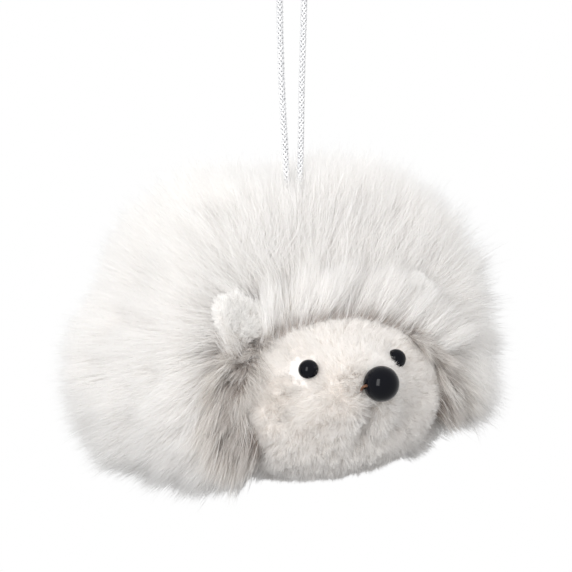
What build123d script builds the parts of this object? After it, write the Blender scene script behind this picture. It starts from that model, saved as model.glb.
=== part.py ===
from build123d import *
import math
import os

# A plush hedgehog that hangs from a cord loop.
# Frame: +Z up, the animal looks along -Y, origin where a hook bears inside the top of the loop.
# Driving dimensions, in millimetres and degrees.

# Hanging cord
cord_diameter = 1.7
hook_radius = 3.0
body_drop = 98.0
knot_radius = 3.4
knot_gap = 0.3
sway_limit = 12.0
strand_half = 1.0
strand_spread = 0.065
bend_share = 0.45
corner_share = 0.97

# Stuffed body under the fabric, an oval turned about an upright axis
body_back = 1.0
body_radius = 39.0
body_middle = -10.0
body_rise = 32.5
body_fall = 28.0
pole_flat = 6.0

# Fur coat, outer limits of the dense pile
coat_radius = 52.0
coat_rise = 46.0
coat_fall = 32.0
coat_flat = 16.0
coat_rim_round = 7.0
rim_wall = 3.0

# Swells of the coat: the crown at its upper left, the right flank and the fringe over the face
crown_radius = 39.5
crown_side = 14.25
crown_rise = 12.0
flank_radius = 29.0
flank_side = 26.0
flank_back = 13.0
flank_drop = 1.0
fringe_radius = 15.0
fringe_bow = 40.0
fringe_half_angle = 20.0
fringe_back = 9.0

# Underside, where the short-pile belly panel closes the coat
belly_width = 46.0
belly_length = 54.0
belly_shift = 3.0
belly_top = -29.0
belly_flare = 0.85
belly_reach = 26.0

# Short-pile fabric and stitching
plush_thickness = 2.4
seam_width = 0.9
ease = 0.2
running_gap = 0.3
slope_share = 0.75

# Head: ovals across the head's axis, from the coat's rim to the tip of the snout
head_tilt = 17.0
head_ahead = 20.9
head_middle = -13.5
face_width = 66.0
face_height = 43.0
face_bulge = 6.5
bulge_width = 56.0
bulge_height = 38.0
brow_reach = 10.8
brow_width = 39.0
brow_height = 29.0
snout_reach = 16.0
snout_width = 23.0
snout_height = 20.0
tip_reach = 21.8
tip_width = 8.4

# Eyes
eye_diameter = 5.1
eye_spacing = 26.4
eye_rise = 6.7
eye_sink = 0.7
eye_dome = 2.3
stem_diameter = 1.8
stem_length = 7.0
washer_diameter = 5.6
washer_thickness = 1.1

# Nose
nose_diameter = 9.0
nose_reach = 24.9
bore_diameter = 1.5
thread_diameter = 0.8
thread_depth = 10.0
thread_bend = 0.7

# Ears
ear_length = 13.6
ear_width = 11.5
ear_thickness = 3.2
ear_root_width = 8.0
ear_ahead = 2.5
ear_angle = 35.5
ear_lift = 0.8
ear_edge_round = 1.1

# Planes that the pieces are built on
body_plane = Plane(origin=(0, body_back, -body_drop))
tilt = math.radians(head_tilt)
head_axis = Vector(0, -math.cos(tilt), math.sin(tilt))
head_plane = Plane(
    origin=(0, body_back - head_ahead, head_middle - body_drop), x_dir=(1, 0, 0), z_dir=head_axis
)
far = 4 * coat_radius


def head_point(x, up, ahead):
    """A point given across, up and along the head's axis from the middle of the coat's rim."""
    return head_plane.from_local_coords(Vector(x, up, ahead))


def turned_oval(radius, rise, fall, flat):
    """A body of revolution with an oval outline, widest at the body's middle, flat at its poles."""
    middle = (flat, body_middle)
    round_width = radius - flat
    with BuildSketch(Plane.YZ) as outline:
        with BuildLine():
            top = EllipticalCenterArc(middle, round_width, rise, start_angle=0, arc_size=90)
            low = EllipticalCenterArc(middle, round_width, fall, start_angle=270, arc_size=90)
            Polyline(low @ 0, (0, body_middle - fall), (0, body_middle + rise), top @ 1)
        make_face()
    return body_plane.location * revolve(outline.sketch, Axis.Z, 360)


def oval_face(width, height, ahead):
    """An oval across the head's axis, made of four quarter arcs."""
    with BuildSketch(head_plane.offset(ahead)) as section:
        with BuildLine():
            for quarter in range(4):
                start = 45 + 90 * quarter
                EllipticalCenterArc((0, 0), width / 2, height / 2, start_angle=start, arc_size=90)
        make_face()
    return section.sketch


def head_form(inset):
    """The head from the coat's rim to the snout's tip, drawn in by the given amount."""
    across = 2 * slope_share * inset
    back = slope_share * inset
    sections = [
        (face_width, face_height, 0),
        (bulge_width, bulge_height, face_bulge),
        (brow_width, brow_height, brow_reach),
        (snout_width, snout_height, snout_reach),
        (tip_width, tip_width, tip_reach),
    ]
    faces = [oval_face(wide - across, high - across, ahead - back) for wide, high, ahead in sections]
    return loft(faces)


def slab(start, end):
    """All space between two planes across the head's axis."""
    return extrude(head_plane.offset(start) * Rectangle(far, far), end - start)


def belly_cone(inset):
    """The flaring space under the body that the long pile leaves free."""
    half_wide = belly_width / 2 - inset
    half_long = belly_length / 2 - inset
    flare = belly_flare * belly_reach
    base = body_plane.offset(belly_top)
    low = body_plane.offset(belly_top - belly_reach)
    faces = []
    for plane, wide, long in (
        (base, half_wide, half_long),
        (low, half_wide + flare, half_long + flare),
    ):
        with BuildSketch(plane) as section:
            with BuildLine():
                for quarter in range(4):
                    start = 45 + 90 * quarter
                    EllipticalCenterArc((0, -belly_shift), wide, long, start_angle=start, arc_size=90)
            make_face()
        faces.append(section.sketch)
    return loft(faces, ruled=True)


def rod(start, direction, radius, length):
    """A round rod from a point along a direction."""
    return extrude(Plane(origin=start, z_dir=direction) * Circle(radius), length)


def tube(path, diameter):
    """A round tube along a path."""
    section = Plane(origin=path @ 0, z_dir=path % 0) * Circle(diameter / 2)
    return sweep(section, path=path)


# Body forms
def body_form(inset):
    """The stuffed body, drawn in by the given amount."""
    return turned_oval(body_radius - inset, body_rise - inset, body_fall - inset, pole_flat)


body_outside = body_form(0)
body_inside = body_form(plush_thickness)
body_cavity = body_form(plush_thickness - ease)
behind_rim = slab(-far, 0)
behind_wall = slab(-far, -rim_wall)

# Knot and the way out for the cord
knot_height = body_middle + body_rise - plush_thickness - knot_gap - knot_radius - body_drop
knot_centre = Vector(0, 0, knot_height)
passage_slope = math.tan(math.radians(sway_limit)) + strand_spread
passage_start = strand_half + cord_diameter / 2 + running_gap
passage_height = body_rise + coat_rise
passage = extrude(
    Plane(origin=knot_centre) * Circle(passage_start),
    passage_height,
    taper=-math.degrees(math.atan(passage_slope)),
)
cord_knot = Pos(knot_centre) * Sphere(knot_radius)
knot_room = Pos(knot_centre) * Sphere(knot_radius + running_gap) + passage

# Head forms
head_outside = head_form(0)
head_inside = head_form(plush_thickness)
neck_width = face_width - 2 * plush_thickness
neck_height = face_height - 2 * plush_thickness
neck = extrude(oval_face(neck_width, neck_height, 0), -rim_wall)
neck_hole = extrude(oval_face(neck_width + 2 * ease, neck_height + 2 * ease, 0), -rim_wall)

# Fur coat
body_axis_middle = Vector(0, body_back, body_middle - body_drop)
crown = Pos(body_axis_middle + Vector(crown_side, 0, crown_rise)) * Sphere(crown_radius)
flank = Pos(body_axis_middle + Vector(-flank_side, flank_back, -flank_drop)) * Sphere(flank_radius)
fringe_line = CenterArc((0, 0), fringe_bow, 90 - fringe_half_angle, 2 * fringe_half_angle)
fringe_line = head_plane.offset(-fringe_back) * fringe_line
fringe = tube(fringe_line, 2 * fringe_radius)
for end in (0, 1):
    fringe = fringe + Pos(fringe_line @ end) * Sphere(fringe_radius)
coat_outside = turned_oval(coat_radius, coat_rise, coat_fall, coat_flat) & behind_rim
rim_edges = [
    edge for edge in coat_outside.edges() if abs(head_plane.to_local_coords(edge @ 0.5).Z) < ease
]
coat_outside = fillet(rim_edges, coat_rim_round) + (crown & behind_rim) + flank + fringe
fur_coat = coat_outside - (body_cavity & behind_wall) - neck_hole - belly_cone(0) - passage

# Belly panel and its stitching
belly_shell = (body_outside - body_cavity) & behind_wall
belly_panel = belly_shell & belly_cone(seam_width)
belly_seam = belly_shell & (belly_cone(0) - belly_cone(seam_width))

# Face panel, its stitching to the coat and the dart under the chin
head_shell = head_outside - head_form(plush_thickness - ease)
face_seam = head_shell & slab(0, seam_width)
face_shell = head_shell & slab(seam_width, far)
dart_box = extrude(
    head_plane.offset(2 * seam_width)
    * Pos(0, -face_height / 2)
    * Rectangle(seam_width, face_height - 2 * plush_thickness),
    tip_reach - 2 * seam_width,
)
chin_seam = face_shell & dart_box
face_panel = face_shell - dart_box

# Fillings
body_filling = (body_inside & behind_wall) - knot_room
head_filling = (head_inside & slab(0, far)) + neck

# Eyes, their washers and the pockets behind them
parts = {}
for side, sign in (("left", 1), ("right", -1)):
    sight = Axis(head_point(sign * eye_spacing / 2, eye_rise, 0), head_axis)
    hits = head_outside.find_intersection_points(sight)
    seat, outward = max(hits, key=lambda hit: head_plane.to_local_coords(hit[0]).Z)
    base = seat - outward * eye_sink
    dome_radius = (eye_dome**2 + (eye_diameter / 2) ** 2) / (2 * eye_dome)
    ball = Pos(base + outward * (eye_dome - dome_radius)) * Sphere(dome_radius)
    dome = ball & rod(base, outward, eye_diameter, 2 * eye_dome)
    stem = rod(base - outward * stem_length, outward, stem_diameter / 2, stem_length)
    washer_base = seat - outward * (plush_thickness + ease + washer_thickness)
    washer = rod(washer_base, outward, washer_diameter / 2, washer_thickness)
    stem_hole = rod(base - outward * stem_length, outward, stem_diameter / 2 + ease / 2, 2 * stem_length)
    dome_hole = rod(base, outward, eye_diameter / 2 + ease, eye_diameter)
    pocket_depth = stem_length + eye_sink + ease
    pocket = rod(seat - outward * pocket_depth, outward, washer_diameter / 2 + ease, pocket_depth)
    parts[side + "_eye"] = dome + stem
    parts[side + "_eye_washer"] = washer - stem_hole
    face_panel = face_panel - stem_hole - dome_hole
    head_filling = head_filling - pocket

# Nose bead on its thread
nose_centre = head_point(0, 0, nose_reach)
bore_start = nose_centre - Vector(nose_diameter, 0, 0)
bore = rod(bore_start, Vector(1, 0, 0), bore_diameter / 2, 2 * nose_diameter)
nose_bead = Pos(nose_centre) * Rot(0, 90, 0) * Sphere(nose_diameter / 2) - bore
nose_seat = Pos(nose_centre) * Sphere(nose_diameter / 2 + running_gap)
leg = nose_diameter / 2 + thread_diameter / 2 + running_gap
thread_end = nose_reach - thread_depth
thread_points = [
    head_point(-leg, 0, thread_end),
    head_point(-leg, 0, nose_reach),
    head_point(leg, 0, nose_reach),
    head_point(leg, 0, thread_end),
]
thread_line = FilletPolyline(*thread_points, radius=thread_bend)
nose_thread = tube(thread_line, thread_diameter)
thread_way = tube(thread_line, thread_diameter + ease)
face_panel = face_panel - nose_seat - thread_way
chin_seam = chin_seam - nose_seat
head_filling = head_filling - nose_seat - thread_way

# Ears, each of two plies that fold about a round root
ear_roots = {}
ply_signs = {"front": 1, "back": -1}
for side, sign in (("left", 1), ("right", -1)):
    angle = math.radians(ear_angle)
    start = head_point(0, 0, ear_ahead)
    across = head_point(sign * math.cos(angle), math.sin(angle), 0) - head_plane.origin
    hits = head_outside.find_intersection_points(Axis(start, across))
    foot, outward = max(hits, key=lambda hit: (hit[0] - start).dot(across))
    rise_way = (outward - head_axis * outward.dot(head_axis)).normalized()
    root_way = rise_way.cross(head_axis)
    root = foot + rise_way * ear_lift
    ear_roots[side] = (root, root_way)
    ear_plane = Plane(origin=root, x_dir=root_way, z_dir=head_axis)
    half = ear_thickness / 2
    leaf_height = ear_length - ear_lift
    leaf_face = ear_plane * Pos(0, leaf_height / 2) * Ellipse(ear_width / 2, leaf_height / 2)
    roll = rod(root - root_way * (ear_root_width / 2), root_way, half, ear_root_width)
    for ply, face_sign in ply_signs.items():
        leaf = extrude(leaf_face, face_sign * half)
        outer = leaf.faces().sort_by(Axis(root, head_axis * face_sign))[-1]
        leaf = fillet(outer.edges(), ear_edge_round)
        half_space = extrude(ear_plane * Rectangle(far, far), face_sign * far)
        parts[side + "_ear_" + ply] = leaf + (roll & half_space)
    groove = rod(
        root - root_way * (ear_root_width / 2 + running_gap),
        root_way,
        half + running_gap,
        ear_root_width + 2 * running_gap,
    )
    face_panel = face_panel - groove
    face_seam = face_seam - groove
    head_filling = head_filling - groove

# Hanging cord: two strands from the knot, drawn tight over the hook
strand_foot = knot_height + knot_radius
loop_top = cord_diameter / 2
loop_half = hook_radius + cord_diameter / 2
left_strand = [(strand_half, strand_foot), (1.5, -68.0), (2.3, -53.0), (2.5, -36.0), (3.1, -18.0)]
right_strand = [(-strand_half, strand_foot), (-1.4, -68.0), (-2.2, -53.0), (-3.3, -36.0), (-3.9, -18.0)]
loop_corners = [(-loop_half, loop_top), (loop_half, loop_top)]
route = [Vector(x, 0, z) for x, z in right_strand + loop_corners + left_strand[::-1]]
route_radii = []
for before, point, after in zip(route, route[1:], route[2:]):
    turn = (point - before).get_angle(after - point)
    shorter = min((point - before).length, (after - point).length)
    if point.Z == loop_top:
        route_radii.append(loop_half * corner_share)
    else:
        route_radii.append(bend_share * shorter / math.tan(math.radians(turn) / 2))
cord_line = FilletPolyline(*route, radius=route_radii)
cord_length = cord_line.length
hanging_cord = tube(cord_line, cord_diameter) - Pos(knot_centre) * Sphere(knot_radius + running_gap)
print("cord radii", [round(radius, 1) for radius in route_radii])
print("cord length", round(cord_length, 2), "volume", round(hanging_cord.volume, 2))
print("cord section times length", round(cord_length * math.pi * cord_diameter**2 / 4, 2))

parts.update(
    fur_coat=fur_coat,
    belly_panel=belly_panel,
    belly_seam=belly_seam,
    face_panel=face_panel,
    face_seam=face_seam,
    chin_seam=chin_seam,
    body_filling=body_filling,
    head_filling=head_filling,
    nose_bead=nose_bead,
    nose_thread=nose_thread,
    cord_knot=cord_knot,
    hanging_cord=hanging_cord,
)
print("knot centre", knot_centre)
print("nose centre", nose_centre)
for side, (root, root_way) in ear_roots.items():
    print(side, "ear root", root, root_way)

os.makedirs("parts", exist_ok=True)
for name, solid in parts.items():
    export_step(solid, "parts/" + name + ".step")
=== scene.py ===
import math

import bpy
import numpy as np
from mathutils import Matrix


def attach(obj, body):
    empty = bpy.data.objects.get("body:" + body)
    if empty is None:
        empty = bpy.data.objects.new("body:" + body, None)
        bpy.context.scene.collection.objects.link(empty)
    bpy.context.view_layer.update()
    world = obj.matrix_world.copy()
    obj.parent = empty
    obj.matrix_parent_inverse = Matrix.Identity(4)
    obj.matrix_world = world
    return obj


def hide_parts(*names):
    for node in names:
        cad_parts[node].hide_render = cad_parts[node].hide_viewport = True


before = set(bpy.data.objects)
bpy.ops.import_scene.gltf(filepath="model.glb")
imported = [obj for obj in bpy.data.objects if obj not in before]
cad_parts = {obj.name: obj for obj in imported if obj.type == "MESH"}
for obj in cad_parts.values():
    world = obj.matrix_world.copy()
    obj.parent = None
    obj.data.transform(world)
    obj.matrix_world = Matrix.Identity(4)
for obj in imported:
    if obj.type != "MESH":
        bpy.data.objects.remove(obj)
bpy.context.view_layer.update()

# Sizes of the hedgehog, in millimetres in the shared frame
mm = 0.001
body_back = 1.0
body_middle = -108.0
body_radius = 39.0
body_rise = 32.5
body_fall = 28.0
pole_flat = 6.0
coat_radius = 52.0
coat_rise = 46.0
coat_fall = 32.0
coat_flat = 16.0
# Swells of the coat: middle and radius
crown = (np.array([14.25, 1.0, -96.0]), 39.5)
flank = (np.array([-26.0, 14.0, -109.0]), 29.0)
belly_half_width = 23.0
belly_half_length = 27.0
belly_centre = -2.0
belly_top = -127.0
belly_flare = 0.85
head_centre = np.array([0.0, -19.9, -111.5])
head_tilt = math.radians(17.0)
head_axis = np.array([0.0, -math.cos(head_tilt), math.sin(head_tilt)])
head_side = np.array([1.0, 0.0, 0.0])
head_up = np.array([0.0, math.sin(head_tilt), math.cos(head_tilt)])
# Full width, full height and distance ahead of the rim, from the rim to the nose
head_ovals = np.array([
    [66.0, 43.0, 0.0],
    [56.0, 38.0, 6.5],
    [39.0, 29.0, 10.8],
    [23.0, 20.0, 16.0],
    [8.4, 8.4, 21.8],
])
rim_setback = 3.0
eye_spacing = 26.4
eye_height = 6.7
eye_diameter = 5.1
nose_ahead = 24.9
nose_diameter = 9.0
# Root of the left ear, mirrored for the right one
ear_root = np.array([22.1963, -17.5483, -95.2571])
ear_lean = math.radians(31.22)
ear_height = 12.8
ear_width = 11.5
ear_thickness = 3.2
cord_diameter = 1.7
# Sideways place and height of the points the cord is drawn through, from the knot up and back
cord_route = [
    (-1.0, -78.2), (-1.4, -68.0), (-2.2, -53.0), (-3.3, -36.0), (-3.9, -18.0), (-3.88, -10.0),
    (-3.85, 0.85), (3.85, 0.85),
    (3.42, -10.0), (3.1, -18.0), (2.5, -36.0), (2.3, -53.0), (1.5, -68.0), (1.0, -78.2),
]

# Rows, columns and inset of the grid of each cloth
coat_cloth = (90, 180, 0.0)
belly_cloth = (140, 180, 1.9)
face_cloth = (70, 140, 1.8)
# Opening for the face, against the face's edge: in the pile, and in the cloth, which reaches further in
pile_cut = -1.0
cloth_cut = -5.0
belly_under_coat = 4.0
# Sizes over which the nap changes its way
lock_size = 30.0
wisp_size = 9.0
# Plain strands have tones up to the first value, and browned ones have the second: their brown foot is
# partly brown roots and partly painted shade where the pile meets the face
plain_tones = 0.78
brown_and_shaded_tone = 0.92

scene = bpy.context.scene
share_of_pile = 1.0


# Camera, as the photo was taken
def set_camera():
    turn = math.radians(-30.0)
    lift = math.radians(11.0)
    away = 1.1
    width_seen = 0.1467
    aim = np.array([-0.08, 3.42, -87.43]) * mm
    toward = np.array([
        math.sin(turn) * math.cos(lift),
        -math.cos(turn) * math.cos(lift),
        math.sin(lift),
    ])
    lens = bpy.data.cameras.new("camera")
    lens.sensor_width = 36.0
    lens.lens = lens.sensor_width * away / width_seen
    camera = bpy.data.objects.new("camera", lens)
    camera.location = aim + toward * away
    camera.rotation_euler = (math.pi / 2 - lift, 0.0, turn)
    scene.collection.objects.link(camera)
    scene.camera = camera


set_camera()


# Shader sums written as Python
class Wire:
    """One output of a shader node, with sums on it."""

    def __init__(self, paint, socket):
        self.paint = paint
        self.socket = socket

    def sum(self, operation, first, second):
        return self.paint.node("ShaderNodeMath", {"operation": operation}, {0: first, 1: second})

    def __add__(self, other):
        return self.sum("ADD", self, other)

    def __sub__(self, other):
        return self.sum("SUBTRACT", self, other)

    def __mul__(self, other):
        return self.sum("MULTIPLY", self, other)

    def __radd__(self, other):
        return self.sum("ADD", other, self)

    def __rsub__(self, other):
        return self.sum("SUBTRACT", other, self)

    def most(self, other):
        """The greater of the two."""
        return self.sum("MAXIMUM", self, other)

    def between(self, low, high):
        """0 below low, 1 above high and smooth in between."""
        return self.paint.node(
            "ShaderNodeMapRange",
            {"interpolation_type": "SMOOTHSTEP"},
            {"Value": self, "From Min": low, "From Max": high},
        )


class Paint:
    """The shader of a material or of the world, being made."""

    def __init__(self, owner):
        self.owner = owner
        owner.use_nodes = True
        self.tree = owner.node_tree
        self.tree.nodes.clear()

    def node(self, kind, settings=None, inputs=None, output=0):
        made = self.tree.nodes.new(kind)
        for setting, value in (settings or {}).items():
            setattr(made, setting, value)
        for place, value in (inputs or {}).items():
            if isinstance(value, Wire):
                self.tree.links.new(value.socket, made.inputs[place])
            else:
                made.inputs[place].default_value = value
        return Wire(self, made.outputs[output])

    def mix(self, amount, first, second):
        """first where amount is 0 and second where it is 1, for colours."""
        return self.node(
            "ShaderNodeMix",
            {"data_type": "RGBA"},
            {0: amount, 6: first, 7: second},
            output=2,
        )

    def noise(self, scale, detail=2.0):
        place = self.node("ShaderNodeTexCoord", output=3)
        return self.node("ShaderNodeTexNoise", {}, {"Vector": place, "Scale": scale, "Detail": detail})

    def finish(self, shader, kind="ShaderNodeOutputMaterial"):
        out = self.tree.nodes.new(kind)
        self.tree.links.new(shader.socket, out.inputs["Surface"])
        return self.owner


def shade(red, green, blue):
    """A colour from its screen values of 0 to 255."""
    screen = np.array([red, green, blue]) / 255
    light = np.where(screen <= 0.04045, screen / 12.92, ((screen + 0.055) / 1.055) ** 2.4)
    return (*light.tolist(), 1.0)


def pile_paint(name, root, tip, brown_and_shaded, dark_end, let_through):
    """Pile, darker at the root. Each strand has its tone, and the last tones are browned ones, whose
    foot is partly brown roots and partly painted shade where the pile meets the face.
    """
    paint = Paint(bpy.data.materials.new(name))
    strand = paint.node("ShaderNodeUVMap", {"uv_map": "strand"})
    tone = paint.node("ShaderNodeSeparateXYZ", {}, {"Vector": strand}, output=0)
    along = paint.node("ShaderNodeSeparateXYZ", {}, {"Vector": strand}, output=1)
    # The browned foot is partly the roots' own brown and partly painted shade
    foot = paint.mix(tone.between(0.80, 0.90), root, brown_and_shaded)
    pale = paint.mix(tone * 0.5, tip, root)
    colour = paint.mix(along.between(0.0, dark_end), foot, pale)
    fibre = paint.node("ShaderNodeBsdfPrincipled", {}, {
        "Base Color": colour,
        "Roughness": 0.55,
        "Specular IOR Level": 0.2,
    })
    glow = paint.node("ShaderNodeBsdfTranslucent", {}, {"Color": tip})
    return paint.finish(paint.node("ShaderNodeMixShader", {}, {0: let_through, 1: fibre, 2: glow}))


def cloth_paint(name, pale, dark, scale):
    """Knitted backing that the pile stands on."""
    paint = Paint(bpy.data.materials.new(name))
    colour = paint.mix(paint.noise(scale).between(0.35, 0.65), pale, dark)
    cloth = paint.node("ShaderNodeBsdfPrincipled", {}, {
        "Base Color": colour,
        "Roughness": 0.9,
        "Specular IOR Level": 0.1,
    })
    return paint.finish(cloth)


def thread_paint(name, pale, dark):
    paint = Paint(bpy.data.materials.new(name))
    colour = paint.mix(paint.noise(2500.0).between(0.3, 0.7), pale, dark)
    thread = paint.node("ShaderNodeBsdfPrincipled", {}, {"Base Color": colour, "Roughness": 0.7})
    return paint.finish(thread)


def gloss_paint(name, colour, roughness):
    """Smooth moulded plastic with faint handling marks."""
    paint = Paint(bpy.data.materials.new(name))
    marks = paint.noise(900.0).between(0.4, 0.9) * 0.06 + roughness
    plastic = paint.node("ShaderNodeBsdfPrincipled", {}, {
        "Base Color": colour,
        "Roughness": marks,
        "Specular IOR Level": 0.12,
    })
    return paint.finish(plastic)


def silver_paint(name):
    """Silvery yarn, part bright metal and part white."""
    paint = Paint(bpy.data.materials.new(name))
    glint = paint.noise(1600.0).between(0.35, 0.65)
    colour = paint.mix(glint, shade(214, 215, 217), shade(250, 250, 251))
    yarn = paint.node("ShaderNodeBsdfPrincipled", {}, {
        "Base Color": colour,
        "Roughness": 0.42 - glint * 0.15,
        "Metallic": 0.15 + glint * 0.35,
    })
    return paint.finish(yarn)


# The browned colour of each pile is partly the roots' own brown and partly painted shade where the pile
# meets the face
long_pile = pile_paint(
    "long pile",
    root=shade(248, 246.5, 245),
    tip=shade(254, 253.4, 252.8),
    brown_and_shaded=shade(150, 134, 123),
    dark_end=0.4,
    let_through=0.6,
)
short_pile = pile_paint(
    "short pile",
    root=shade(247.5, 245.5, 243.5),
    tip=shade(252.5, 251.3, 250),
    brown_and_shaded=shade(190, 177, 168),
    dark_end=0.6,
    let_through=0.45,
)
# Pile for the face's edge and cheeks, with a dark brown foot: brown roots, and painted shade in the gap
# between coat and face
brown_and_shaded_pile = pile_paint(
    "brownish shaded pile",
    root=shade(242, 238, 234),
    tip=shade(253, 252, 250),
    brown_and_shaded=shade(126, 106, 93),
    dark_end=1.4,
    let_through=0.4,
)
ear_pile = pile_paint(
    "ear pile",
    root=shade(252, 251, 250),
    tip=shade(254, 253.6, 253),
    brown_and_shaded=shade(190, 177, 168),
    dark_end=0.4,
    let_through=0.5,
)
coat_backing = cloth_paint("coat backing", shade(232, 226, 221), shade(216, 208, 202), scale=700.0)
face_backing = cloth_paint("face backing", shade(247, 244, 242), shade(241, 237, 234), scale=900.0)
brown_thread = thread_paint("brown thread", shade(122, 84, 58), shade(84, 54, 36))
pale_stitching = thread_paint("pale stitching", shade(235, 228, 220), shade(210, 200, 190))
black_gloss = gloss_paint("black gloss", shade(9, 10, 17), roughness=0.06)
grey_washer = gloss_paint("grey washer", shade(70, 70, 74), roughness=0.45)
silver_yarn = silver_paint("silver yarn")


def unit(ways):
    return ways / np.maximum(np.linalg.norm(ways, axis=-1, keepdims=True), 1e-9)


def ramp(values, low, high):
    """0 at low, 1 at high and straight in between."""
    return np.clip((values - low) / (high - low), 0, 1)


def distances(path):
    """How far along a path each of its points lies."""
    return np.concatenate([[0.0], np.cumsum(np.linalg.norm(np.diff(path, axis=0), axis=1))])


def points_along(path, places):
    """The points of a path at some distances along it."""
    run = distances(path)
    return np.stack([np.interp(places, run, path[:, axis]) for axis in range(3)], axis=1)


def make_piece(name, points, corners, starts, paint, body, maps=None):
    """A mesh piece from points in millimetres, the corners of its faces and where each face starts."""
    mesh = bpy.data.meshes.new(name)
    mesh.vertices.add(len(points))
    mesh.vertices.foreach_set("co", (points * mm).astype(np.float32).ravel())
    mesh.loops.add(len(corners))
    mesh.loops.foreach_set("vertex_index", corners.astype(np.int32))
    mesh.polygons.add(len(starts))
    mesh.polygons.foreach_set("loop_start", starts.astype(np.int32))
    for map_name, places in (maps or {}).items():
        layer = mesh.uv_layers.new(name=map_name)
        layer.data.foreach_set("uv", places[corners].astype(np.float32).ravel())
    mesh.update(calc_edges=True)
    mesh.polygons.foreach_set("use_smooth", np.ones(len(starts), bool))
    mesh.materials.append(paint)
    piece = bpy.data.objects.new(name, mesh)
    scene.collection.objects.link(piece)
    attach(piece, body)
    return piece


class Skin:
    """Cloth as a grid of points whose columns close round. Rows cross columns to the outside."""

    def __init__(self, points, shown=None):
        self.points = points
        beyond = np.roll(points, -1, axis=1)
        self.corner = [points[:-1], beyond[:-1], beyond[1:], points[1:]]
        down = (self.corner[3] - self.corner[0] + self.corner[2] - self.corner[1]) / 2
        across = (self.corner[1] - self.corner[0] + self.corner[2] - self.corner[3]) / 2
        outward = np.cross(down, across)
        self.area = np.linalg.norm(outward, axis=-1)
        self.outward = unit(outward)
        self.down = unit(down)
        self.middle = sum(self.corner) / 4
        self.shown = np.ones(self.area.shape, bool) if shown is None else shown(self.middle)

    def make(self, name, paint, body):
        rows, columns = self.area.shape
        row, column = np.nonzero(self.shown)
        beyond = (column + 1) % columns
        corners = np.stack([
            row * columns + column,
            (row + 1) * columns + column,
            (row + 1) * columns + beyond,
            row * columns + beyond,
        ], axis=1)
        used, corners = np.unique(corners.ravel(), return_inverse=True)
        starts = np.arange(len(row)) * 4
        points = self.points.reshape(-1, 3)[used]
        return make_piece(name, points, corners, starts, paint, body)

    def roots(self, random, count):
        """Places spread evenly over what is shown, with the outward way and the way down the rows."""
        weight = (self.area * self.shown).ravel()
        cell = random.choice(len(weight), count, p=weight / weight.sum())
        a, b, c, d = (corner.reshape(-1, 3)[cell] for corner in self.corner)
        right = random.random((count, 1))
        low = random.random((count, 1))
        places = (a * (1 - right) + b * right) * (1 - low) + (d * (1 - right) + c * right) * low
        return places, self.outward.reshape(-1, 3)[cell], self.down.reshape(-1, 3)[cell]


def grow(random, roots, outward, way, bend, length, bunch, spread, gather, wave, steps):
    """Paths of strands: a bunch round each root, gathered towards the tip of the first one."""
    bend = np.broadcast_to(bend, roots.shape)
    roots, outward, way, bend, length = (
        np.repeat(kept, bunch, axis=0) for kept in (roots, outward, way, bend, length)
    )
    count = len(roots)
    stray = 0.10
    unevenness = 0.09
    curl_turn = 4.5
    gather_late = 1.3
    first_tip = roots + way * length[:, None]
    aside = unit(np.cross(outward, random.normal(size=(count, 3))))
    roots = roots + aside * np.abs(random.normal(size=(count, 1))) * spread
    way = unit(way + random.normal(size=(count, 3)) * stray)
    length = length * np.clip(random.normal(1.0, unevenness, count), 0.7, 1.15)
    pull = first_tip - (roots + way * length[:, None])
    pull -= way * (pull * way).sum(1, keepdims=True)
    loose = random.random((count, 1)) ** 2
    across = unit(np.cross(way, random.normal(size=(count, 3))))
    phase = random.random((count, 1)) * 2 * math.pi
    paths = []
    for step in range(steps):
        part = step / (steps - 1)
        curl = np.sin(phase + part * curl_turn) - np.sin(phase)
        place = roots + way * (length * part)[:, None]
        place = place + pull * gather * (1 - loose) * part ** gather_late
        place = place + across * curl * (wave * length * part)[:, None]
        place = place + bend * (length * part * part)[:, None]
        paths.append(place)
    return np.stack(paths, axis=1)


def strand_tones(random, paths, brown_and_shaded=None):
    """A tone for each strand, with the browned one, partly brown roots and partly painted shade, for a
    share of them.
    """
    tones = random.random(len(paths)) * plain_tones
    if brown_and_shaded is not None:
        tones = np.where(random.random(len(paths)) < brown_and_shaded, brown_and_shaded_tone, tones)
    return tones


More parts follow.
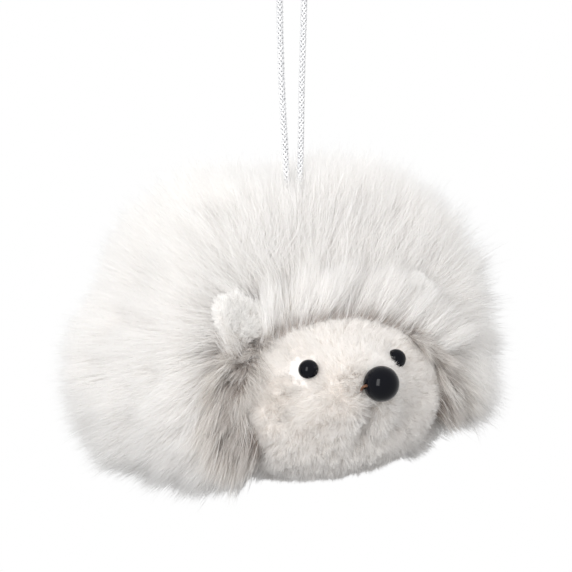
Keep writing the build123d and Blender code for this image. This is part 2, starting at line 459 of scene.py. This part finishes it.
def make_pile(name, random, paths, tones, width, paint, slot, body):
    """Flat tapering strands along the paths, in pieces of a modest number of faces."""
    steps = paths.shape[1]
    rows = steps - 1
    most_faces = 180000
    taper = 0.55
    map_half_width = 0.004
    map_margin = 0.01
    per_piece = most_faces // (2 * rows - 1)
    pieces = math.ceil(len(paths) / per_piece)
    for number in range(pieces):
        some = slice(number * len(paths) // pieces, (number + 1) * len(paths) // pieces)
        path, tone = paths[some], tones[some]
        count = len(path)
        along = unit(np.gradient(path, axis=1))
        turned = random.normal(size=(count, 1, 3))
        side = unit(np.cross(along, turned))
        part = np.linspace(0, 1, steps)
        half = width / 2 * (1 - taper * part) * random.uniform(0.75, 1.25, (count, 1))
        edge = side * half[:, :, None]
        points = np.empty((count, 2 * rows + 1, 3))
        points[:, 0:-1:2] = (path - edge)[:, :-1]
        points[:, 1:-1:2] = (path + edge)[:, :-1]
        points[:, -1] = path[:, -1]
        face = [[2 * r, 2 * r + 1, 2 * r + 3, 2 * r + 2] for r in range(rows - 1)]
        face.append([2 * rows - 2, 2 * rows - 1, 2 * rows])
        size = np.array([len(corners) for corners in face])
        corners = np.concatenate(face)[None] + np.arange(count)[:, None] * (2 * rows + 1)
        starts = (np.cumsum(size) - size)[None] + np.arange(count)[:, None] * size.sum()
        strand = np.empty((count, 2 * rows + 1, 2))
        strand[:, :, 0] = tone[:, None]
        strand[:, 0:-1:2, 1] = part[:-1]
        strand[:, 1:-1:2, 1] = part[:-1]
        strand[:, -1, 1] = 1.0
        baked = strand.copy()
        baked[:, 0:-1:2, 0] -= map_half_width
        baked[:, 1:-1:2, 0] += map_half_width
        baked = map_margin + (1 - 2 * map_margin) * baked
        label = name if pieces == 1 else f"{name}_{number + 1}"
        make_piece(
            label,
            points.reshape(-1, 3),
            corners.ravel(),
            starts.ravel(),
            paint,
            body,
            maps={"strand": strand.reshape(-1, 2), "OFBake": baked.reshape(-1, 2)},
        )


def make_tubes(name, tubes, paint, body):
    """Round tubes, each along a path with its radius."""
    sides = 6
    # A slant that no path runs along
    slant = [0.31, 0.52, 0.79]
    ring = np.linspace(0, 2 * math.pi, sides, endpoint=False)
    points, corners, start = [], [], 0
    for path, radius in tubes:
        along = unit(np.gradient(path, axis=0))
        flat = unit(np.cross(along, slant))
        over = np.cross(along, flat)
        thick = np.broadcast_to(radius, len(path))[:, None]
        round_path = (
            path[:, None]
            + flat[:, None] * (thick * np.cos(ring))[..., None]
            + over[:, None] * (thick * np.sin(ring))[..., None]
        )
        row, side = np.meshgrid(np.arange(len(path) - 1), np.arange(sides), indexing="ij")
        beyond = (side + 1) % sides
        face = np.stack([
            row * sides + side,
            row * sides + beyond,
            (row + 1) * sides + beyond,
            (row + 1) * sides + side,
        ], axis=-1)
        points.append(round_path.reshape(-1, 3))
        corners.append(start + face.ravel())
        start += len(path) * sides
    corners = np.concatenate(corners)
    starts = np.arange(len(corners) // 4) * 4
    return make_piece(name, np.concatenate(points), corners, starts, paint, body)


# Hanging cord, braided of silvery yarns
def make_cord():
    line = bpy.data.curves.new("cord_line", "CURVE")
    line.dimensions = "3D"
    spline = line.splines.new("NURBS")
    spline.points.add(len(cord_route) - 1)
    for point, (sideways, height) in zip(spline.points, cord_route):
        point.co = (sideways * mm, 0.0, height * mm, 1.0)
    spline.order_u = 3
    spline.use_endpoint_u = True
    spline.resolution_u = 24
    holder = bpy.data.objects.new("cord_line", line)
    drawn = bpy.data.meshes.new_from_object(holder)
    path = np.array([vertex.co[:] for vertex in drawn.vertices]) / mm
    bpy.data.objects.remove(holder)
    bpy.data.meshes.remove(drawn)
    steps = 700
    place = np.linspace(0, distances(path)[-1], steps)
    path = points_along(path, place)
    along = unit(np.gradient(path, axis=0))
    depth = np.array([0.0, 1.0, 0.0])
    beside = unit(np.cross(along, depth))
    yarn_radius = 0.24
    turn_length = 5.2
    yarns = 8
    weave = 0.08
    tubes = []
    for yarn in range(yarns):
        hand = 1 if yarn % 2 else -1
        angle = hand * (place / turn_length + yarn / yarns) * 2 * math.pi
        out = cord_diameter / 2 - yarn_radius + weave * np.sin(angle * yarns / 2)
        middle = path + beside * (np.cos(angle) * out)[:, None] + depth * (np.sin(angle) * out)[:, None]
        tubes.append((middle, yarn_radius))
    cord = make_tubes("braided_cord", tubes, silver_yarn, "loop")
    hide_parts("hanging_cord")


make_cord()


# Body skins: a flattened ball, cut flat where the face is set in
def body_grid(rows, columns, inset):
    pole = 0.3
    swing = np.linspace(math.pi / 2, -math.pi / 2, rows - 2)
    out = pole_flat + (body_radius - inset - pole_flat) * np.cos(swing)
    high = (np.where(swing > 0, body_rise, body_fall) - inset) * np.sin(swing)
    out = np.concatenate([[pole], out, [pole]])
    high = np.concatenate([high[:1], high, high[-1:]])
    round_about = np.linspace(0, 2 * math.pi, columns, endpoint=False)
    points = np.stack([
        out[:, None] * np.cos(round_about),
        body_back + out[:, None] * np.sin(round_about),
        np.repeat(body_middle + high[:, None], columns, axis=1),
    ], axis=-1)
    ahead = (points - head_centre) @ head_axis
    over = np.maximum(ahead + rim_setback, 0.0)
    return points - head_axis * over[..., None]


def ear_ways(sign):
    """The ways an ear rises from its root and widens along it."""
    rise = head_side * sign * math.sin(ear_lean) + head_up * math.cos(ear_lean)
    return rise, np.cross(rise, head_axis)


def in_belly(points, grown=0.0):
    below = belly_top - points[..., 2]
    flare = grown + belly_flare * below
    wide = (points[..., 0] / (belly_half_width + flare)) ** 2
    long = ((points[..., 1] - belly_centre) / (belly_half_length + flare)) ** 2
    return (wide + long < 1) & (below > -8)


def in_face(points, grown):
    rest = points - head_centre
    wide = (rest @ head_side) / (head_ovals[0, 0] / 2 + grown)
    high = (rest @ head_up) / (head_ovals[0, 1] / 2 + grown)
    return (wide ** 2 + high ** 2 < 1) & (rest @ head_axis > -rim_setback - 1.5)


def coat_depth(points):
    """How far out in the coat points lie: 1 at its outer oval and swells."""
    beside = np.hypot(points[..., 0], points[..., 1] - body_back)
    across = np.maximum(beside - coat_flat, 0) / (coat_radius - coat_flat)
    above = points[..., 2] - body_middle
    deep = np.hypot(across, above / np.where(above > 0, coat_rise, coat_fall))
    for middle, radius in (crown, flank):
        deep = np.minimum(deep, np.linalg.norm(points - middle, axis=-1) / radius)
    return deep


def drift(points, random, length):
    """Slow wandering of the nap over the coat."""
    wander = np.zeros_like(points)
    for axis in range(3):
        for _ in range(3):
            wave = random.normal(size=3) * 2 * math.pi / length
            wander[:, axis] += np.sin(points @ wave + random.random() * 2 * math.pi) / 3
    return wander


def ending_above(lowest, roots, way, bend, length):
    """Lengths cut so that the strands end above a height."""
    fall = np.minimum((way + bend)[:, 2] * length, -1e-3)
    return length * np.clip((lowest - roots[:, 2]) / fall, 0.35, 1)


def over_right_ear(paths):
    """Which strands come in front of the right ear or through it."""
    sign = -1
    edge_covered = 1.5
    behind = 2.0
    rise, beside = ear_ways(sign)
    rest = paths - ear_root * np.array([sign, 1, 1])
    high = (rest @ rise - ear_height / 2) / (ear_height / 2)
    wide = (rest @ beside) / (ear_width / 2 - edge_covered)
    return ((high ** 2 + wide ** 2 < 1) & (rest @ head_axis > -behind)).any(axis=1)


def make_coat():
    random = np.random.default_rng(11)
    grid = body_grid(*coat_cloth)
    skin = Skin(grid, lambda middle: ~in_belly(middle) & ~in_face(middle, pile_cut))
    # The backing reaches in under the face, further than the pile
    reaching = Skin(grid, lambda middle: ~in_belly(middle) & ~in_face(middle, cloth_cut))
    backing = reaching.make("coat_backing", coat_backing, "hedgehog")
    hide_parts("fur_coat", "body_filling")
    tufts = 6000
    more_tufts = 3000
    roots, outward, _ = skin.roots(random, int(tufts * share_of_pile))
    # More on the upper back, where the nap parts, and in the middle of the back
    more, more_outward, _ = skin.roots(random, int(more_tufts * share_of_pile))
    upper_back = (more_outward[:, 1] > 0.1) & (more_outward[:, 2] > 0.25)
    kept = upper_back | (more_outward[:, 1] > 0.7)
    roots = np.concatenate([roots, more[kept]])
    outward = np.concatenate([outward, more_outward[kept]])
    count = len(roots)
    rest = roots - head_centre
    ahead = rest @ head_axis
    from_axis = rest - ahead[:, None] * head_axis
    whorl_radius = 20.0
    off_axis = np.linalg.norm(from_axis, axis=1, keepdims=True)
    from_face = from_axis / np.maximum(off_axis, whorl_radius)
    upper = ramp(roots[:, 2], -100, -80)
    lower = ramp(roots[:, 2], -118, -130)
    on_top = ramp(outward[:, 2], 0.5, 0.9)[:, None]
    # The nap stands up on top, and elsewhere it is combed away from the face
    way = outward * (1 + 1.2 * on_top) + (0.45 * from_face - 0.15 * head_axis) * (1 - 0.6 * on_top)
    way = way + np.outer(0.1 * upper, head_side)
    way = way + np.outer(0.5 * lower + 0.25 * upper - 0.2, [0.0, 0.0, 1.0])
    way = unit(way + 0.28 * drift(roots, random, lock_size) + 0.2 * drift(roots, random, wisp_size))
    # Near the face the strands lean forward only a little, and bend back
    near_rim = ramp(ahead, -11, -3)
    forward = way @ head_axis
    way = way - head_axis * (np.maximum(forward, 0) * near_rim)[:, None]
    lean = np.clip(forward, 0, 0.5) * near_rim
    way = unit(unit(way) + head_axis * lean[:, None])
    bend = np.outer(-0.7 * lean, head_axis) + np.array([0.0, 0.0, -0.08])
    # Uneven depth, as in the photo: fuller on top at the right and thinner on the right flank
    right_top = on_top[:, 0] * ramp(roots[:, 0], 0, -15)
    left_flank = (1 - on_top[:, 0]) * np.clip(roots[:, 0] / 30, -1.6, 0.6)
    depth = np.clip(random.normal(1.08, 0.045, count), 0.97, 1.17)
    depth = depth + 0.08 * right_top + 0.04 * left_flank
    length = np.zeros(count)
    shortest = 8.0
    longest = 28.0
    for far in np.linspace(1, longest, 80):
        length = np.where(coat_depth(roots + way * far) < depth, far, length)
    length = np.maximum(length, shortest)
    left_hem = -124.5
    right_hem = -134.5 + 5 * near_rim
    lowest = np.where(roots[:, 0] > 15, left_hem, right_hem) + random.normal(0, 1.5, count)
    length = ending_above(lowest, roots, way, bend, length)
    bunch = 34
    paths = grow(
        random, roots, outward, way, bend, length, bunch, spread=1.4, gather=0.5, wave=0.05, steps=5
    )
    # Strands round the face's edge are browned: brown roots, and painted shade in the gap between coat
    # and face
    rim = ramp(ahead, -rim_setback - 5, -rim_setback) * in_face(roots, 5.0)
    tones = strand_tones(random, paths, np.repeat(rim, bunch))
    clear = ~over_right_ear(paths)
    strands = (paths[clear], tones[clear])
    strand_width = 0.16
    make_pile("coat_pile", random, *strands, strand_width, long_pile, "long_pile", "hedgehog")


def rim_roots(angle, ahead):
    """Places a little under the face, round its edge, with the outward way."""
    under = 1.2
    half_wide = np.interp(ahead, head_ovals[:, 2], head_ovals[:, 0] / 2)
    half_high = np.interp(ahead, head_ovals[:, 2], head_ovals[:, 1] / 2)
    beside = np.outer(np.cos(angle) * half_wide, head_side)
    above = np.outer(np.sin(angle) * half_high, head_up)
    outward = unit(beside / half_wide[:, None] ** 2 + above / half_high[:, None] ** 2)
    return head_centre + beside + above + np.outer(ahead, head_axis) - under * outward, outward


def make_rim():
    """Pile swept along the edge of the face, browned at the root with brown roots and painted shade,
    none under the chin.
    """
    random = np.random.default_rng(17)
    tufts = 1600
    count = int(tufts * share_of_pile)
    angle = np.radians(random.uniform(-20, 212, count))
    level = np.abs(np.cos(angle))
    ahead = random.uniform(-rim_setback, 1.5 + 2.5 * level)
    roots, outward = rim_roots(angle, ahead)
    along = np.outer(1 - level, head_side) - np.outer(level, head_up)
    lean = random.uniform(0.1, 0.8, (count, 1))
    way = unit(0.8 * outward + 0.6 * along + lean * head_axis + 0.35 * drift(roots, random, wisp_size))
    bend = -0.4 * lean * head_axis + np.array([0.0, 0.0, -0.3])
    length = random.uniform(8.0, 15.0, count) * np.where(ahead > 0, 0.6, 1.0)
    left_hem = -123.0
    right_hem = -129.5
    lowest = np.where(roots[:, 0] > 0, left_hem, right_hem) + random.normal(0, 1.5, count)
    length = ending_above(lowest, roots, way, bend, length)
    bunch = 26
    paths = grow(
        random, roots, outward, way, bend, length, bunch, spread=1.1, gather=0.6, wave=0.05, steps=5
    )
    # More browned strands at the sides and ahead of the rim: brown roots, and painted shade where the
    # face meets the coat
    brown_and_shaded_share = (0.2 + 0.7 * level) * np.where(ahead > 0, 1.0, 0.5)
    tones = strand_tones(random, paths, np.repeat(brown_and_shaded_share, bunch))
    clear = ~over_right_ear(paths)
    strands = (paths[clear], tones[clear])
    strand_width = 0.13
    make_pile("rim_pile", random, *strands, strand_width, brown_and_shaded_pile, "long_pile", "hedgehog")


def make_fringe():
    """Pile over the brow and the left ear, and pile that falls over the cheeks."""
    random = np.random.default_rng(19)
    brow_tufts = 1150
    cheek_tufts = 420
    count = int(brow_tufts * share_of_pile)
    angle = np.radians(np.clip(random.normal(75, 30, count), 22, 150))
    roots, outward = rim_roots(angle, random.uniform(0.5, 5.0, count))
    way = outward + 0.45 * head_side + random.uniform(0.0, 0.5, (count, 1)) * head_axis
    way = unit(way + 0.4 * drift(roots, random, wisp_size))
    bend = 0.1 * head_side - 0.3 * head_axis
    length = random.uniform(9.0, 18.0, count)
    paths = grow(
        random, roots, outward, way, bend, length, bunch=26, spread=1.2, gather=0.5, wave=0.05, steps=5
    )
    # Half the brow strands are browned: brown roots, and painted shade between the fringe and the brow
    tones = strand_tones(random, paths, brown_and_shaded=0.5)
    clear = ~over_right_ear(paths)
    strands = (paths[clear], tones[clear])
    strand_width = 0.13
    make_pile("fringe_pile", random, *strands, strand_width, long_pile, "long_pile", "hedgehog")
    count = int(cheek_tufts * share_of_pile)
    side = random.choice([1.0, -1.0], count)
    angle = np.radians(90 - side * random.uniform(48, 92, count))
    roots, outward = rim_roots(angle, random.uniform(-1.0, 4.0, count))
    inward = np.outer(-0.3 * side, head_side)
    way = 0.45 * outward + inward - 0.6 * head_up + 0.45 * head_axis
    way = unit(way + 0.3 * drift(roots, random, wisp_size))
    bend = np.array([0.0, 0.0, -0.1]) - 0.1 * head_axis
    length = random.uniform(6.0, 11.0, count)
    paths = grow(
        random, roots, outward, way, bend, length, bunch=20, spread=1.1, gather=0.5, wave=0.05, steps=5
    )
    # Most cheek strands are browned: brown roots, and painted shade in the gap between coat and face
    tones = strand_tones(random, paths, brown_and_shaded=0.6)
    clear = ~over_right_ear(paths)
    strands = (paths[clear], tones[clear])
    strand_width = 0.12
    make_pile("cheek_pile", random, *strands, strand_width, brown_and_shaded_pile, "long_pile", "hedgehog")


def make_belly():
    random = np.random.default_rng(23)
    grid = body_grid(*belly_cloth)
    under = belly_under_coat
    skin = Skin(grid, lambda middle: in_belly(middle, under) & ~in_face(middle, pile_cut))
    reaching = Skin(grid, lambda middle: in_belly(middle, under) & ~in_face(middle, cloth_cut))
    belly = reaching.make("belly_cloth", face_backing, "hedgehog")
    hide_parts("belly_panel")
    tufts = 700
    count = int(tufts * share_of_pile)
    roots, outward, _ = skin.roots(random, count)
    way = unit(outward + np.array([0.0, 0.9, 0.0]) + 0.3 * drift(roots, random, 20.0))
    length = random.uniform(2.2, 3.2, count)
    paths = grow(
        random, roots, outward, way, 0.0, length, bunch=20, spread=1.0, gather=0.4, wave=0.07, steps=4
    )
    tones = strand_tones(random, paths)
    strand_width = 0.14
    make_pile("belly_pile", random, paths, tones, strand_width, short_pile, "short_pile", "hedgehog")


# Face: a pointed muzzle with a tuck under the chin
def face_grid(rows, columns, inset):
    behind_rim = [65.0, 42.0, -rim_setback - 1.0]
    ovals = np.concatenate([[behind_rim], head_ovals])
    place = np.linspace(0, len(ovals) - 1, rows)
    low = np.minimum(place.astype(int), len(ovals) - 2)
    ends = np.concatenate([2 * ovals[:1] - ovals[1:2], ovals, 2 * ovals[-1:] - ovals[-2:-1]])
    # A smooth curve through the ovals
    part = (place - low)[:, None]
    before, first, second, after = (ends[low + step] for step in range(4))
    oval = 0.5 * (
        2 * first
        + (second - before) * part
        + (2 * before - 5 * first + 4 * second - after) * part ** 2
        + (3 * first - before - 3 * second + after) * part ** 3
    )
    round_about = np.linspace(0, 2 * math.pi, columns, endpoint=False)
    wide = (oval[:, :1] / 2 - inset) * np.cos(round_about)
    high = (oval[:, 1:2] / 2 - inset) * np.sin(round_about)
    ahead = np.repeat(oval[:, 2:] - inset * 0.6, columns, axis=1)
    below = np.clip(-np.sin(round_about)[None] * np.ones_like(wide), 0, 1)
    tuck_depth = 4.5
    cheek_depth = 1.8
    chin_lift = 0.05
    tuck = tuck_depth * np.exp(-((wide / 2.0) ** 2)) * below * ramp(ahead, 6, 12)
    beside = (np.abs(wide) - 6.0) / 3.2
    cheek = cheek_depth * np.exp(-(beside ** 2)) * below * ramp(ahead, 8, 13)
    high = high * (1 - chin_lift * below) + tuck - cheek
    return (
        head_centre
        + wide[..., None] * head_side
        + high[..., None] * head_up
        + ahead[..., None] * head_axis
    )


def make_face():
    random = np.random.default_rng(37)
    skin = Skin(face_grid(*face_cloth)[::-1])
    face = skin.make("face_cloth", face_backing, "hedgehog")
    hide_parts("face_panel", "head_filling")
    tufts = 8000
    roots, outward, down = skin.roots(random, int(tufts * share_of_pile))
    rest = roots - head_centre
    room = np.linalg.norm(rest - nose_ahead * head_axis, axis=1) - nose_diameter / 2
    for sign in (1, -1):
        off = np.hypot(rest @ head_side - sign * eye_spacing / 2, rest @ head_up - eye_height)
        room = np.minimum(room, off - eye_diameter / 2)
    # None where the coat's pile covers the edge
    turned = np.arctan2(rest @ head_up, rest @ head_side)
    hooded = (np.sin(turned) > -0.5) & (rest @ head_axis < 2.5 * np.abs(np.cos(turned)))
    clear = (room > 0.4) & ~hooded
    roots, outward, down, rest, room = (kept[clear] for kept in (roots, outward, down, rest, room))
    count = len(roots)
    snout = ramp(rest @ head_axis, 15, 18)
    way = down * (0.5 - 0.5 * snout)[:, None] + 0.75 * outward + 0.5 * drift(roots, random, wisp_size)
    way = unit(way + np.outer(1.1 * snout, head_axis) + 0.15 * random.normal(size=(count, 3)))
    chin = ramp(rest @ head_up, 4, -8)
    length = random.uniform(1.9, 2.7, count) * (1 + 0.2 * chin * (1 - snout) + 0.8 * snout)
    length = length * np.clip(0.45 + room / 5 + snout, 0.5, 1)
    bunch = 18
    paths = grow(
        random, roots, outward, way, 0.0, length, bunch, spread=0.7, gather=0.35, wave=0.07, steps=4
    )
    # Pile near the face's edge is browned: brown roots, and painted shade under the coat's rim
    rim = ramp(rest @ head_axis, 3, 0)
    tones = strand_tones(random, paths, np.repeat(0.7 * rim, bunch))
    strand_width = 0.12
    make_pile("face_pile", random, paths, tones, strand_width, short_pile, "short_pile", "hedgehog")


# Stitching at the foot of the pile
def make_stitching(name, line, node):
    """A row of short thread stitches along a line of points."""
    stitch = 2.6
    radius = 0.22
    steps = 5
    thick = radius * np.sin(np.linspace(0.25, math.pi - 0.25, steps)) ** 0.5
    stitches = []
    for number in range(int(distances(line)[-1] / stitch)):
        place = (number + np.linspace(0.12, 0.88, steps)) * stitch
        stitches.append((points_along(line, place), thick))
    seam = make_tubes(name, stitches, pale_stitching, "hedgehog")
    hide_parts(node)


def make_seams():
    turns = np.linspace(0, 2 * math.pi, 200)
    inside_rim = 1.6
    behind_rim = 1.5
    wide = (head_ovals[0, 0] / 2 - inside_rim) * np.cos(turns)
    high = (head_ovals[0, 1] / 2 - inside_rim) * np.sin(turns)
    rim = head_centre + wide[:, None] * head_side + high[:, None] * head_up - behind_rim * head_axis
    make_stitching("face_stitching", rim, "face_seam")
    face = face_grid(*face_cloth)
    lowest_column = face.shape[1] * 3 // 4
    make_stitching("chin_stitching", face[8:60, lowest_column], "chin_seam")
    belly = body_grid(*belly_cloth)
    first_row = np.argmax(in_belly(belly), axis=0)
    edge = belly[first_row, np.arange(belly.shape[1])]
    make_stitching("belly_stitching", edge, "belly_seam")


# Thread through the nose bead, tucked in behind it
def make_thread():
    # Sideways, up and ahead of the middle of the face's edge
    half_route = np.array([
        [3.0, -2.0, 18.5],
        [3.6, -1.6, 20.2],
        [4.4, -0.9, 22.2],
        [5.05, -0.3, 24.2],
        [4.7, 0.0, 24.8],
    ])
    route = np.concatenate([half_route * [-1, 1, 1], half_route[::-1]])
    thread_radius = 0.38
    ways = np.stack([head_side, head_up, head_axis])
    middle = head_centre + route @ ways
    tubes = [(middle, thread_radius)]
    thread = make_tubes("nose_stitch", tubes, brown_thread, "hedgehog")
    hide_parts("nose_thread")


# Ears: soft leaves of short plush
def make_ear(side, sign):
    random = np.random.default_rng(50 + sign)
    root = ear_root * np.array([sign, 1, 1])
    rise, beside = ear_ways(sign)
    rows, columns = 28, 48
    climb = np.linspace(0.0, math.pi, rows)
    round_about = np.linspace(0, 2 * math.pi, columns, endpoint=False)
    pile_room = 0.9
    tall = ear_height - pile_room
    up = tall / 2 * (1 - np.cos(climb))
    half_wide = (ear_width / 2 - pile_room) * np.sin(climb) ** 0.8 + 0.05
    half_thick = (ear_thickness / 2 - 0.4) * np.sin(climb) ** 0.6 + 0.03
    cup = -0.5 * (np.cos(round_about) ** 2)
    points = (
        root
        + up[:, None, None] * rise
        + (half_wide[:, None] * np.cos(round_about))[..., None] * beside
        + (half_thick[:, None] * (np.sin(round_about) - cup))[..., None] * head_axis
    )
    skin = Skin(points)
    ear = skin.make(f"{side}_ear_cloth", face_backing, f"{side}_ear")
    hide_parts(f"{side}_ear_front", f"{side}_ear_back")
    tufts = 1100
    count = int(tufts * share_of_pile)
    roots, outward, down = skin.roots(random, count)
    way = unit(outward + 0.6 * down + 0.2 * random.normal(size=(count, 3)))
    length = random.uniform(1.6, 2.8, count)
    paths = grow(
        random, roots, outward, way, 0.0, length, bunch=18, spread=0.6, gather=0.3, wave=0.06, steps=4
    )
    tones = strand_tones(random, paths)
    strand_width = 0.13
    body = f"{side}_ear"
    make_pile(f"{side}_ear_pile", random, paths, tones, strand_width, ear_pile, "short_pile", body)


make_coat()
make_rim()
make_fringe()
make_belly()
make_face()
make_seams()
make_thread()
make_ear("left", 1)
make_ear("right", -1)

# Pieces carried over as they were built
paints = {
    "left_eye": black_gloss,
    "right_eye": black_gloss,
    "nose_bead": black_gloss,
    "left_eye_washer": grey_washer,
    "right_eye_washer": grey_washer,
    "cord_knot": silver_yarn,
}
for name, paint in paints.items():
    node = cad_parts[name]
    node.data.materials.clear()
    node.data.materials.append(paint)


# Studio: white all round, a broad soft lamp to the upper left
def make_studio():
    lamp = bpy.data.lights.new("key lamp", "AREA")
    lamp.shape = "RECTANGLE"
    lamp.size = 0.45
    lamp.size_y = 0.95
    lamp.energy = 11.0
    key = bpy.data.objects.new("key lamp", lamp)
    aim = np.array([0.0, 0.0, -0.1])
    place = aim + np.array([-0.95, -0.75, 0.45])
    key.location = place
    toward = unit(aim - place)
    key.rotation_euler = (
        math.acos(-toward[2]),
        0.0,
        math.atan2(toward[0], -toward[1]) + math.pi,
    )
    scene.collection.objects.link(key)
    world = bpy.data.worlds.new("white studio")
    scene.world = world
    sky = Paint(world)
    white = (1.0, 1.0, 1.0, 1.0)
    from_camera, glossy, transmitted, scattered = (
        sky.node("ShaderNodeLightPath", output=kind)
        for kind in ("Is Camera Ray", "Is Glossy Ray", "Is Transmission Ray", "Is Diffuse Ray")
    )
    # Light that has been scattered in the pile comes from the soft dome
    mirrored = (glossy.most(transmitted) - scattered).most(0.0)
    place = sky.node("ShaderNodeTexCoord", output="Generated")
    height = sky.node("ShaderNodeSeparateXYZ", {}, {0: place}, output="Z")
    # The dome is dim below
    strength = sky.node("ShaderNodeMapRange", {}, {
        "Value": height,
        "From Min": -0.7,
        "From Max": 0.0,
        "To Min": 0.1,
        "To Max": 0.93,
    })
    dome = sky.node("ShaderNodeBackground", {}, {"Color": white, "Strength": strength})
    backdrop = sky.node("ShaderNodeBackground", {}, {"Color": white, "Strength": 1.0})
    seen = from_camera.most(mirrored)
    lit = sky.node("ShaderNodeMixShader", {}, {0: seen, 1: dome, 2: backdrop})
    sky.finish(lit, "ShaderNodeOutputWorld")
    scene.view_settings.view_transform = "Standard"
    # Light goes many times from strand to strand in white pile
    scene.cycles.max_bounces = 24
    scene.cycles.diffuse_bounces = 16
    scene.cycles.transmission_bounces = 16


make_studio()
